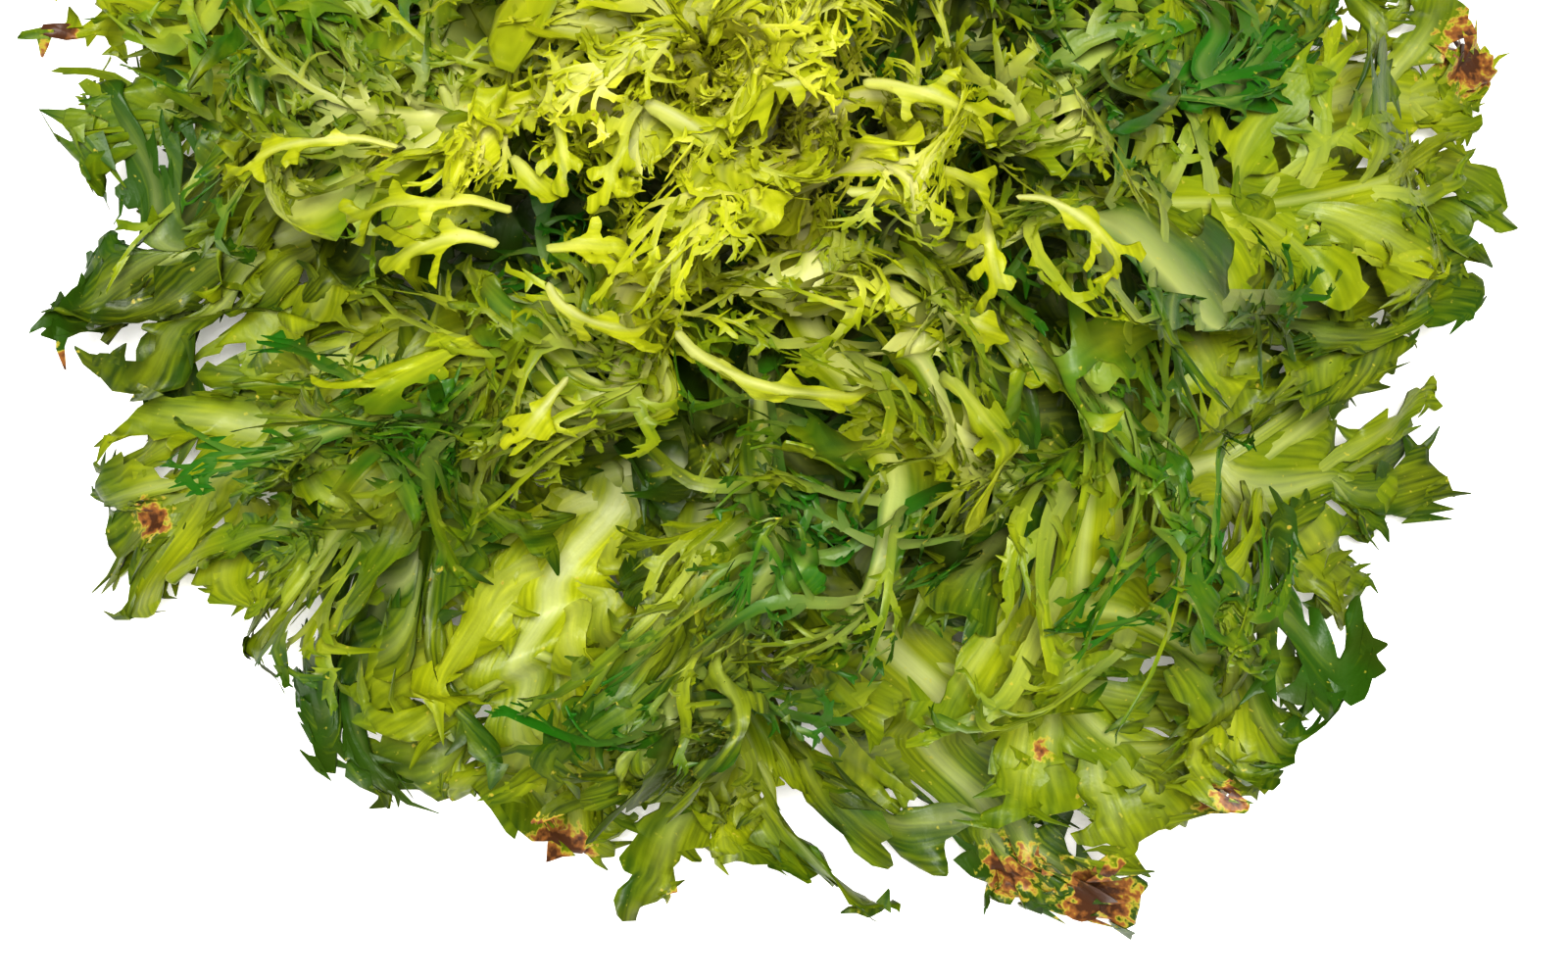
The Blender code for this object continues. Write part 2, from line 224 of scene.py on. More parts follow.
def ring_curve(level):
    """A tier's curve as control points (radius, height). level is 0 for the lowest, 1 for the top."""
    return (
        (mix(STEM_RADIUS, STEM_TOP_RADIUS, level), mix(LOWEST_LEAF, HIGHEST_LEAF, level)),
        (mix(62, 17, level), mix(38, 80, level)),
        (mix(122, 24, level**1.25), mix(50, 140, level**0.85)),
        (
            HEAD_RADIUS - (HEAD_RADIUS - HEART_RADIUS) * level**2.2,
            mix(TIP_CLEARANCE, HEAD_HEIGHT, level**1.1),
        ),
    )


def heart_curve(level):
    """The same for the heart's small leaves: level is 0 for the outer of its rings, 1 for the inner."""
    bottom = HIGHEST_LEAF + mix(10, 14, level)
    return (
        (mix(3.0, 1.8, level), bottom),
        (mix(9, 4, level), bottom + 42),
        (mix(6, 3, level), HEAD_HEIGHT + mix(6, 12, level)),
        (mix(40, 14, level), HEAD_HEIGHT + mix(3, 11, level)),
    )


class Surface:
    """A tier's curved surface, as tables along its curve from the stem to the leaf's tip."""

    def __init__(self, control_points):
        base, rise, fall, tip = np.array(control_points, float)
        t = np.linspace(0, 1, SAMPLES + 1)[:, None]
        self.points = base * (1 - t) ** 3 + rise * 3 * (1 - t) ** 2 * t
        self.points = self.points + fall * 3 * (1 - t) * t**2 + tip * t**3
        steps = np.diff(self.points, axis=0)
        self.along = np.concatenate(([0.0], np.cumsum(np.linalg.norm(steps, axis=1))))
        self.length = self.along[-1]
        slopes = unit(steps)
        self.slopes = unit(np.vstack((slopes[:1], slopes[:-1] + slopes[1:], slopes[-1:])))
        self.room = np.full(len(self.points), 1e9)

    def keep_clear_of(self, other):
        """Notes how near another tier's curve comes to each point of this one."""
        apart = np.linalg.norm(self.points[:, None] - other.points[None], axis=2)
        self.room = np.minimum(self.room, apart.min(axis=1))

    def at(self, u):
        """(radius, height, out, up, room) this far from the stem, straight on past both ends."""
        radius, height = (np.interp(u, self.along, self.points[:, k]) for k in (0, 1))
        out, up = (np.interp(u, self.along, self.slopes[:, k]) for k in (0, 1))
        past = np.maximum(u - self.length, 0) + np.minimum(u, 0)
        room = np.interp(u, self.along, self.room)
        return radius + past * out, height + past * up, out, up, room


def make_surfaces(curves):
    """The surfaces of these curves, each knowing the room that its neighbours leave it."""
    surfaces = [Surface(curve) for curve in curves]
    for lower, upper in zip(surfaces, surfaces[1:]):
        lower.keep_clear_of(upper)
        upper.keep_clear_of(lower)
    return surfaces


def reach(turn):
    """How far the head spreads in these directions, as in the frame."""
    place = (turn % math.tau) / math.tau * len(REACH)
    before = place.astype(int) % len(REACH)
    after = (before + 1) % len(REACH)
    table = np.array(REACH)
    return mix(table[before], table[after], smooth_step(0, 1, place - np.floor(place)))


def sway(points):
    """The frame's gentle bend of the whole head, so that no two sides of it are alike."""
    x, y, z = np.moveaxis(points, -1, 0)
    ease = smooth_step(STEM_RADIUS + 3, HEAD_RADIUS / 2, np.hypot(x, y))
    lean = LEAN * smooth_step(HIGHEST_LEAF - 3, HEAD_HEIGHT, z)
    spread = mix(1.0, reach(np.arctan2(y, x)), ease)
    x, y = x * spread, y * spread
    return np.stack(
        (
            x + lean + ease * SWAY * np.sin(z / 34 + y / 47 + 0.6),
            y + ease * SWAY * np.sin(x / 51 + z / 37 + 2.4),
            z * (1 + HEIGHT_SWAY * ease * np.sin(x / 41 + 1.1) * np.cos(y / 53 + 0.4)),
        ),
        axis=-1,
    )


class Leaf:
    """Where one leaf of the frame lies, how long it is and how its lobes fall."""

    def __init__(self, tier, surface, index, offset, number):
        draw = random.Random(SEED * 1000 + number)
        self.tier, self.surface, self.cut = tier, surface, CUTS[tier.name]
        self.azimuth = FIRST_LEAF + math.tau * (index + offset) / tier.leaves
        self.length = surface.length * draw.uniform(SHORTEST_LEAF, 1.0)
        self.sector = math.pi / tier.leaves * SECTOR_USED
        self.swirl = SWIRL * math.sin(2.4 * offset + 1)
        self.phase = draw.uniform(0, math.tau)
        self.lobes = {
            side: [
                (draw.uniform(0.8, 1.0), draw.uniform(0.65, 1.0), draw.choice((-1, 1)))
                for _ in range(tier.lobes)
            ]
            for side in (-1, 1)
        }
        self.random = np.random.default_rng((SEED, number))
        self.wander = self.random.uniform(0, math.tau, 3)
        self.tint = 0.08 * math.sin(5 * self.wander[0])
        self.folds = [
            (
                self.random.normal(0, math.tau / 62, 3),
                unit(self.random.normal(0, 1, 3)),
                self.random.uniform(0, math.tau),
            )
            for _ in range(4)
        ]

    def greenness_and_shade(self, share):
        """How green the blade is along the leaf, with painted shade: darker where the leaves above
        cover it.
        """
        green = mix(self.cut.green_low, self.cut.green_high, smooth_step(0.2, 0.95, share))
        # Painted shade: the covered base of the outer tiers' leaves is pushed towards the ramp's
        # darkest green
        shaded = 0.4 * smooth_step(0.62, 0.35, share) * smooth_step(0.2, 0.4, self.cut.green_low)
        return green + shaded + self.tint

    def half_width(self, u):
        """The most that the frame's leaf reaches to each side of its rib here."""
        return self.surface.at(u)[0] * self.sector - SIDE_GAP

    def edge(self, u):
        """How far the rib and the blade that runs on beside it reach from the middle."""
        share = np.clip(u / self.length, 0, 1)
        wing = self.tier.wing * smooth_step(0.25, 0.6, share)
        wing = wing * mix(1.0, 0.5, smooth_step(0.8, 1, share))
        edge = mix(RIB_HALF_WIDTH, RIB_TIP_HALF_WIDTH, share**0.6) + wing
        return np.minimum(edge, self.half_width(u))

    def lift(self, u, share):
        """An offset out of the tier's surface, as a share of what its neighbours leave."""
        _, height, _, _, room = self.surface.at(u)
        limit = np.minimum(WIDEST_WAVE, SHARE_OF_ROOM * room - CAD_BLADE / 2)
        return np.maximum(share * limit, TABLE_GAP + CAD_BLADE - height)

    def crumpled(self, points):
        """The flat leaf's points (u, v, w) moved by a few broad folds that fade towards its base."""
        grown = smooth_step(0.12, 0.6, points[..., 0] / self.length)[..., None]
        moved = points
        for wave, way, phase in self.folds:
            moved = moved + self.cut.crumple * grown * way * np.sin(points @ wave + phase)[..., None]
        return moved

    def place(self, points):
        """The points of the head, in millimetres, for points (u, v, w) of the flat leaf."""
        u, v, w = np.moveaxis(self.crumpled(points), -1, 0)
        share = np.clip(u / self.length, 0, 1.1)
        bend, dip, roll = self.wander
        w = w + self.lift(u, RIB_WAVE * np.sin(self.phase + 7 * share) * share)
        w = w + v * 0.35 * share * np.sin(roll + 4 * share) + 3.0 * share * np.sin(dip + 9 * share)
        v = v + 9.0 * share * np.sin(bend + 5 * share)
        radius, height, out, up, _ = self.surface.at(u)
        radius_w, height_w = radius - up * w, height + out * w
        turn = self.azimuth + self.swirl * share**2 + v / np.maximum(radius, 4.0)
        placed = sway(
            np.stack((radius_w * np.cos(turn), radius_w * np.sin(turn), height_w), axis=-1)
        )
        height = placed[..., 2]
        low = ON_TABLE * np.exp(np.minimum(height / ON_TABLE - 1, 0))
        high = TOP - (TOP - CROWN) * np.exp(np.minimum(CROWN - height, 0) / (TOP - CROWN))
        height = np.where(height < ON_TABLE, low, height)
        placed[..., 2] = np.where(height > CROWN, high, height)
        return placed


class Ribbons:
    """Many narrow blades that grow at once, with each one's middle line and frame at its stations."""

    def __init__(self, root, ahead, face, length, stations, bend, curl, twist):
        count = len(root)
        step = (length / (stations - 1))[:, None]
        self.length, self.stations, self.count = length, stations, count
        self.middle, self.ahead, self.side, self.face = (
            np.empty((count, stations, 3)) for _ in range(4)
        )
        for k in range(stations):
            side = np.cross(face, ahead)
            self.middle[:, k], self.ahead[:, k] = root, ahead
            self.side[:, k], self.face[:, k] = side, face
            s = k / (stations - 1)
            b, c, t = (turn(s)[:, None] / (stations - 1) for turn in (bend, curl, twist))
            onward = unit(ahead + b * side + c * face)
            root = root + (ahead + onward) / 2 * step
            face = face - c * ahead + t * side
            face = unit(face - (face * onward).sum(axis=1, keepdims=True) * onward)
            ahead = onward

    def some(self, chosen):
        """Only these of the ribbons."""
        part = copy.copy(self)
        part.length, part.count = self.length[chosen], len(chosen)
        for table in ("middle", "ahead", "side", "face"):
            setattr(part, table, getattr(self, table)[chosen])
        return part

    def spots(self, owners, stations):
        """Middle, ahead, side and face at these stations, given as shares, of these ribbons."""
        place = stations * (self.stations - 1)
        low = np.minimum(place.astype(int), self.stations - 2)
        share = (place - low)[:, None]
        return [
            mix(table[owners, low], table[owners, low + 1], share)
            for table in (self.middle, self.ahead, self.side, self.face)
        ]


class Skin:
    """The blades of a leaf as they are made, with the marks of each point."""

    def __init__(self, leaf):
        self.leaf = leaf
        self.points, self.marks, self.faces = [], [], []
        self.count = 0

    def slab(self, middle, face, above, below, marks, faces, outline):
        """A closed blade: its middle surface moved along face by above and by below, with a wall."""
        under = marks.copy()
        under[:, MARKS.index("green")] -= 0.08
        count = len(middle)
        self.points += [middle + face * above[:, None], middle - face * below[:, None]]
        self.marks += [marks, under]
        walls = np.concatenate((outline[:, ::-1], outline + count), axis=1)
        for part in (*faces, *(face[:, ::-1] + count for face in faces), walls):
            self.faces.append(part + self.count)
        self.count += 2 * count

    def strip(self, sections, marks, tips):
        """Closed strips: sections is (strips, stations, points round, 3), tips one point a strip."""
        strips, _, around, _ = sections.shape
        ids = np.arange(sections[..., 0].size).reshape(sections.shape[:3])
        beside = np.roll(ids, -1, axis=2)
        quads = np.stack((ids[:, :-1], beside[:, :-1], beside[:, 1:], ids[:, 1:]), axis=-1)
        ends = np.broadcast_to(ids.size + np.arange(strips)[:, None], ids[:, -1].shape)
        fans = np.stack((ids[:, -1], beside[:, -1], ends), axis=-1)
        caps = [
            np.stack((ids[:, 0, 0], ids[:, 0, k + 1], ids[:, 0, k]), axis=-1)
            for k in range(1, around - 1)
        ]
        self.points += [sections.reshape(-1, 3), tips]
        self.marks += [marks.reshape(-1, marks.shape[-1]), marks[:, -1, 0]]
        for part in (quads.reshape(-1, 4), fans.reshape(-1, 3), *caps):
            self.faces.append(part + self.count)
        self.count += ids.size + strips

    def gathered(self):
        """(points, marks, faces) of everything so far."""
        return np.concatenate(self.points), np.concatenate(self.marks), self.faces


def first_lobes(leaf):
    """Root along the rib, side or angle, root across it, length and lift of the leaf's lobes.

    Each forked lobe of the frame gives two ribbons, and its end point four.
    """
    first, last = leaf.length * FIRST_LOBE, leaf.length * LAST_LOBE
    pitch = (last - first) / leaf.tier.lobes
    forward, across = math.cos(LOBE_SWEEP), math.sin(LOBE_SWEEP)
    rows = []
    for side in (-1, 1):
        for k, (full, forked, flip) in enumerate(leaf.lobes[side]):
            u_low = first + pitch * (k + 0.5 - LOBE_ROOT / 2)
            u_high = first + pitch * (k + 0.5 + LOBE_ROOT / 2)
            share = u_high / leaf.length
            outline = mix(LOW_LOBES, 1.0, smooth_step(0.1, 0.7, share))
            outline *= mix(1.0, END_LOBES, smooth_step(0.75, 1.0, share))
            limit = leaf.half_width(u_low) - leaf.edge(u_low)
            length = min(LONGEST_LOBE, limit / across + 5.0) * outline * full
            if length < SHORTEST_LOBE:
                continue
            for u, part, lift in ((u_low, BACK_TIP * forked, 0.9 * flip), (u_high, 1.0, -0.9 * flip)):
                edge = float(leaf.edge(u))
                long = part * length + 0.7 * edge
                rows.append((u - 0.5 * edge * forward, side, 0.35 * edge, long, lift))
    for angle in (-34, -12, 14, 36):
        u = leaf.length * 0.93
        rows.append((u, math.radians(angle), 0.0, leaf.length * 0.07 + END_POINT + 6.0, 0.2))
    return rows


Lobes = namedtuple("Lobes", "ribbons share half flesh green swell")


def lobes_of(leaf):
    """The ribbons that a leaf's lobes follow, and each one's share along the rib, size and colour."""
    cut, rng = leaf.cut, leaf.random
    rows = first_lobes(leaf)
    for n in range(cut.fringe):
        u = leaf.length * (rng.uniform(0.2, 0.97) if cut.fine else rng.uniform(0.12, 0.6))
        side, v = 1 if n % 2 else -1, 0.4 * float(leaf.edge(u))
        rows.append((u, side, v, cut.twig * rng.uniform(1, 1.8), 0))
    u, side, v, length, lift = (np.array(column, float) for column in zip(*rows))
    count = len(rows)
    fringe = np.arange(count) >= count - cut.fringe
    end = np.abs(side) < 1
    wilful = 0.2 + 0.4 * (cut.fine > 0.5)
    angle = np.where(end, side, np.sign(side) * rng.normal(LOBE_SWEEP + 0.08, wilful, count))
    side = np.where(end, np.sign(side), side)
    share = u / leaf.length
    stand = rng.normal(cut.stand, 0.5 * cut.stand + 0.1, count) * np.where(end, 0.4, 1.0)
    stand = stand + 0.3 * fringe * (cut.fine > 0)
    root = np.stack((u, np.where(end, 0, side * v), np.full(count, -0.4)), axis=1)
    ahead = np.stack(
        (np.cos(angle) * np.cos(stand), np.sin(angle) * np.cos(stand), np.sin(stand)), axis=1
    )
    face = unit(np.array((0.0, 0.0, 1.0)) - ahead[:, 2:] * ahead)
    rise = 2 * leaf.lift(u, lift) / np.maximum(length, 10) - 1.2 * stand
    end_curl = rng.normal(0.1, 0.55, count) * cut.curl
    bending = -side * rng.normal(0.30, 0.15 + 0.35 * cut.curl, count)
    twisting = rng.normal(0, 0.5, count) * cut.curl
    ribbons = Ribbons(
        root, ahead, face, length * rng.uniform(0.9, 1.15, count), 9,
        lambda s: bending, lambda s: rise + end_curl * 2.2 * s**2, lambda s: twisting * s * 1.6,
    )
    green = leaf.greenness_and_shade(share) + rng.normal(0, 0.05, count)
    half = cut.lobe * rng.uniform(0.75, 1.35, count) * np.clip(length / 30, 0.5, 1.0)
    if cut.fine:
        half = half * np.where(rng.uniform(0, 1, count) < 0.12 * (cut.green_low > 0.4), 1.9, 1.0)
    else:
        half = half * np.where(share < COVERED, 1.8, 1.0)
    return Lobes(ribbons, share, half, cut.pale * (1 - 0.5 * share), green, 0.12 * half)


def cut_out(inside, layers):
    """Cuts the part of a grid where inside is above 0 out along a smooth outline.

    layers holds the grid's values, among them inside. Gives those of the points that are left, the
    faces as arrays of one size each, and the outline's edges, all running left round.
    """
    wide, tall = inside.shape
    size = wide * tall
    ids = np.arange(size).reshape(wide, tall)
    filled = inside > 0
    crossings = []
    for axis in (0, 1):
        after = np.roll(inside, -1, axis=axis)
        share = np.clip(inside / np.where(after == inside, 1, inside - after), 0.08, 0.92)
        crossings.append(mix(layers, np.roll(layers, -1, axis=axis + 1), share))
    values = np.concatenate([grid.reshape(len(layers), -1) for grid in (layers, *crossings)], axis=1)
    corners = (ids[:-1, :-1], ids[1:, :-1], ids[1:, 1:], ids[:-1, 1:])
    edges = (
        size + ids[:-1, :-1], 2 * size + ids[1:, :-1], size + ids[:-1, 1:], 2 * size + ids[:-1, :-1],
    )
    full = [filled.ravel()[corner] for corner in corners]
    kind = sum(corner.astype(int) << k for k, corner in enumerate(full))
    faces, outline = [], []
    for mask in range(1, 16):
        cells = kind == mask
        if not cells.any():
            continue
        walk = []
        for k in range(4):
            here, onward = mask >> k & 1, mask >> (k + 1) % 4 & 1
            walk += [(False, corners[k])] * here + [(True, edges[k])] * (here != onward)
        faces.append(np.stack([grid[cells] for _, grid in walk], axis=-1))
        for (a_cut, a), (b_cut, b) in zip(walk, walk[1:] + walk[:1]):
            if a_cut and b_cut:
                outline.append(np.stack((a[cells], b[cells]), axis=-1))
    outline = np.concatenate(outline)
    used = np.unique(np.concatenate([face.ravel() for face in faces]))
    number = np.zeros(3 * size, int)
    number[used] = np.arange(len(used))
    return values[:, used], [number[face] for face in faces], number[outline]


def joined(filled, seed):
    """The filled places of a grid that are joined to those of the seed."""
    reached = filled & seed
    while True:
        wider = reached.copy()
        wider[1:] |= reached[:-1]
        wider[:-1] |= reached[1:]
        wider[:, 1:] |= reached[:, :-1]
        wider[:, :-1] |= reached[:, 1:]
        wider &= filled
        if (wider == reached).all():
            return reached
        reached = wider


def capsule(u, v, start, angle, length, bow=0.0):
    """How far points lie along an arc that starts here, as a share of it, and how far off it."""
    way_u, way_v = math.cos(angle), math.sin(angle)
    from_u, from_v = u - start[0], v - start[1]
    ahead = from_u * way_u + from_v * way_v
    s = np.clip(ahead / length, 0, 1)
    aside = from_v * way_u - from_u * way_v - bow * (s * length) ** 2
    return s, np.hypot(ahead - s * length, aside)


def seen_part(inside, layers, root):
    """The part of a grid where inside is above 0 that is joined to its root, cut out."""
    inside[[0, -1]], inside[:, [0, -1]] = -1, -1
    inside = np.where(joined(inside > 0, root), inside, -np.abs(inside) - 0.05)
    return cut_out(inside, np.stack((*layers, inside)))


def grow_lobe(skin, lobes, k):
    """One lobe with its twigs and their teeth, cut from a blade that follows the lobe's ribbon.

    The blade is the soft maximum of tapered arcs, and each twig rises out of it by its own amount.
    """
    cut, rng = skin.leaf.cut, skin.leaf.random
    length = lobes.ribbons.length[k]
    covered = lobes.share[k] < COVERED - 0.12
    mesh = cut.mesh * (1.6 if covered else 1.0)
    half = max(lobes.half[k], 0.75 * mesh)
    soft, blunt = 0.36 * mesh, 0.32 * mesh
    longest = cut.twig * min(1.0, length / 25)
    wide = half + longest + cut.frill
    a, b = np.meshgrid(
        np.arange(-3 * mesh, length + longest + mesh, mesh),
        np.arange(-wide, wide + mesh, mesh) + rng.uniform(0, mesh),
        indexing="ij",
    )
    phase = rng.uniform(0, math.tau, 5)
    bent = b + 0.6 * mesh * np.sin(a / (2.6 * mesh) + phase[0]) * smooth_step(0, 10, a)
    s, off = capsule(a, bent, (0, 0), 0.0, length)
    width = half * mix(mix(0.8, 1.0, smooth_step(0, 0.4, s)), 0.2, smooth_step(0.5, 1, s))
    weight = np.exp((width + blunt * s - off) / soft)
    raised = np.zeros(a.shape)
    twigs = 3 if covered else cut.twigs
    for n in range(twigs):
        spot = length * mix(0.2, 0.98, (n + rng.uniform(0.1, 0.9)) / twigs)
        turn = rng.uniform(0.55, 1.05) * (1 if n % 2 else -1)
        out = half * (1 - 0.4 * spot / length)
        out += longest * rng.uniform(0.35, 1.0) * (1 - 0.3 * spot / length)
        bow = rng.normal(0, 0.03) * min(1.0, 8 / out)
        t, off = capsule(a, bent, (spot, 0), turn, out, bow)
        rise = rng.normal(0.15, 0.42) * cut.curl * out
        pull = np.exp((cut.twig_half * (1 - t) + blunt * t - off) / soft)
        weight += pull
        raised += pull * rise * t**1.5
        teeth = min(cut.frills, 2)
        for tooth in range(teeth):
            along = mix(0.35, 1.0, (tooth + rng.uniform(0, 0.9)) / teeth)
            ahead, aside = along * out, bow * (along * out) ** 2
            start = (
                spot + math.cos(turn) * ahead - math.sin(turn) * aside,
                math.sin(turn) * ahead + math.cos(turn) * aside,
            )
            away = turn + rng.choice((-0.95, 0.95))
            t, off = capsule(a, bent, start, away, cut.frill * rng.uniform(0.6, 1.2))
            pull = np.exp((0.6 * mesh * (1 - t) + 0.2 * mesh - off) / soft)
            weight += pull
            raised += pull * rise * along**1.5
    inside = soft * np.log(weight)
    root = (np.abs(a) < 2 * mesh) & (np.abs(b) < 2 * mesh)
    (a, b, raised, depth), faces, outline = seen_part(inside, (a, b, raised / weight), root)

    s = a / length
    middle, ahead, side, face = lobes.ribbons.spots(np.full(len(a), k), np.clip(s, 0, 1))
    past = np.minimum(a, 0) + np.maximum(a - length, 0)
    near = smooth_step(0.9, 0.0, depth / half)
    wave = np.sin(a / 2.6 + phase[1] + np.where(b > 0, 0, 2)) + 0.5 * np.sin(a / 1.7 + phase[2])
    ruffle = 0.45 * mesh * near * wave * smooth_step(0.1, 0.4, s)
    lift = raised + rng.normal(0.01, 0.02) * b**2 + ruffle
    middle = middle + ahead * past[:, None] + side * b[:, None] + face * lift[:, None]
    vein = np.exp(-((b / (0.45 * half)) ** 2)) * (1 - smooth_step(0.25, 1.0, s))
    shift = rng.uniform(0, 400)
    marks = np.stack(
        (
            lobes.flesh[k] * np.maximum(vein, 0.4 * (1 - smooth_step(0, 0.5, s))),
            lobes.green[k] + 0.10 * s + 0.05 * near,
            np.clip(s, 0, 1), b + shift, a + shift,
        ),
        axis=-1,
    )
    crest = np.sqrt(np.clip(1 - (b / (0.8 * half)) ** 2, 0, 1))
    thick = BLADE / 2 + lobes.swell[k] * crest * (1 - 0.8 * np.clip(s, 0, 1))
    skin.slab(middle, unit(face), thick, thick, marks, faces, outline)
    if cut.fine <= 0.5 and not covered:
        outer = a[outline[:, 0]] > 0.25 * length
        shown = outline[outer & (rng.uniform(0, 1, len(outline)) < POINTED)]
        grow_points(skin, middle, face, shown, lobes.green[k] + 0.12)


def grow_points(skin, middle, face, outline, green):
    """Sharp points on these edges of a blade's outline, which run left round it."""
    if not len(outline):
        return
    rng = skin.leaf.random
    count = len(outline)
    start, stop = middle[outline[:, 0]], middle[outline[:, 1]]
    onward, face = unit(stop - start), unit(face[outline[:, 0]])
    out = unit(np.cross(onward, face))
    tilt = rng.normal(0, 0.35, (2, count, 1))
    ahead = unit(out + tilt[0] * onward + tilt[1] * face)
    face = unit(face - (face * ahead).sum(axis=1, keepdims=True) * ahead)
    bend = rng.normal(0, 0.5, count)
    points = Ribbons(
        (start + stop) / 2 - POINT_ROOT * ahead, ahead, face, rng.uniform(*POINT_LENGTH, count), 3,
        lambda s: bend, lambda s: 0.7 * bend, lambda s: 0 * bend,
    )
    half = rng.uniform(*POINT_HALF, count)
    grow_strips(skin, points, POINT, half, np.zeros(count), np.full(count, green), 0.7)


def grow_strips(skin, ribbons, shape, half_width, flesh, green, thick):
    """Gives ribbons thin fleshy blades. half_width, flesh and green are one number a ribbon."""
    rng = skin.leaf.random
    count, stations = ribbons.count, ribbons.stations
    s = np.linspace(0, 1, stations)[None, :]
    flare = mix(shape.root, shape.middle, smooth_step(0, 0.35, s))
    outline = mix(flare, shape.end, smooth_step(0.4, 1, s))
    half = half_width[:, None] * outline
    thickness = thick * (1 - 0.4 * s)
    offset = rng.uniform(0, 400, (count, 1))
    rings, marks = [], np.empty((count, stations, shape.around, len(MARKS)))
    fade = flesh[:, None] * (1 - smooth_step(0.0, 0.8, s))
    for k, (across, face) in enumerate(zip(*ROUND[shape.around])):
        lift = face * thickness / 2
        rings.append(
            ribbons.middle
            + ribbons.side * (half * across)[..., None]
            + ribbons.face * lift[..., None]
        )
        values = (
            fade, green[:, None] + 0.10 * s - 0.08 * (face < 0), s,
            half * across + offset, s * ribbons.length[:, None] + offset,
        )
        for mark, value in enumerate(values):
            marks[:, :, k, mark] = value
    tips = ribbons.middle[:, -1] + ribbons.ahead[:, -1] * (half[:, -1:] * 1.6)
    skin.strip(np.stack(rings, axis=2), marks, tips)


def fork(leaf, parents, owner, place, length, turn, stations, bow):
    """Ribbons that grow out of these places on their owners, to the side that turn gives."""
    rng = leaf.random
    count = len(owner)
    middle, ahead, side, face = parents.spots(owner, place)
    ahead, side, face = unit(ahead), unit(side), unit(face)
    angle = rng.normal(0.85, 0.3, count)[:, None]
    flat = ahead * np.cos(angle) + turn[:, None] * side * np.sin(angle)
    onward = unit(flat + face * rng.normal(0.1, 0.25, count)[:, None])
    face = unit(face - (face * onward).sum(axis=1, keepdims=True) * onward)
    bending = rng.normal(0, bow, count) - 0.3 * turn
    curling, twisting = rng.normal(0, bow, (2, count))
    return Ribbons(
        middle, onward, face, length, stations,
        lambda s: bending, lambda s: curling * (0.4 + 1.2 * s), lambda s: 0.5 * twisting,
    )


def grow_antlers(skin, lobes, chosen):
    """The finely cut lobes: thin ribbons, with twigs and teeth that flare where they join."""
    leaf, cut = skin.leaf, skin.leaf.cut
    rng = leaf.random
    if not len(chosen):
        return
    ribbons = lobes.ribbons.some(chosen)
    half = np.minimum(lobes.half[chosen], THICKEST_ANTLER)
    flesh, green = lobes.flesh[chosen], lobes.green[chosen]
    grow_strips(skin, ribbons, ANTLER, half * 0.9, flesh, green, 1.0)

    per_lobe = np.where(lobes.share[chosen] < COVERED - 0.2, (cut.twigs + 1) // 2, cut.twigs)
    owner = np.repeat(np.arange(len(chosen)), per_lobe)
    order = np.concatenate([np.arange(n) for n in per_lobe])
    place = mix(0.15, 1.0, (order + rng.uniform(0.0, 1.0, order.size)) / per_lobe[owner])
    crown = mix(0.8, 1.0, smooth_step(0, 0.5, place)) * mix(1, 0.55, smooth_step(0.6, 1, place))
    length = cut.twig * crown * rng.uniform(0.5, 1.3, order.size)
    length = np.minimum(length, ribbons.length[owner] * 0.7)
    turn = np.where(order % 2, 1.0, -1.0)
    twigs = fork(leaf, ribbons, owner, place, length, turn, 5, 0.8 * cut.curl)
    half = cut.twig_half * rng.uniform(0.75, 1.3, twigs.count)
    green = green[owner] + 0.05 * place
    grow_strips(skin, twigs, TWIG, half, flesh[owner] * (1 - place) * 0.8, green, 0.75)

    bearing = np.flatnonzero(lobes.share[chosen][owner] >= COVERED - 0.2)
    owner = np.repeat(bearing, cut.frills)
    order = np.tile(np.arange(cut.frills), len(bearing))
    place = mix(0.2, 1.0, (order + rng.uniform(0, 1, owner.size)) / cut.frills)
    length = cut.frill * rng.uniform(0.5, 1.2, owner.size) * mix(1.0, 0.7, place)
    turn = np.where(order % 2, 1.0, -1.0)
    teeth = fork(leaf, twigs, owner, place, length, turn, 2, 0.5)
    half = np.full(owner.size, TOOTH_HALF)
    grow_strips(skin, teeth, TOOTH, half, np.zeros(owner.size), green[owner] + 0.04, 0.6)


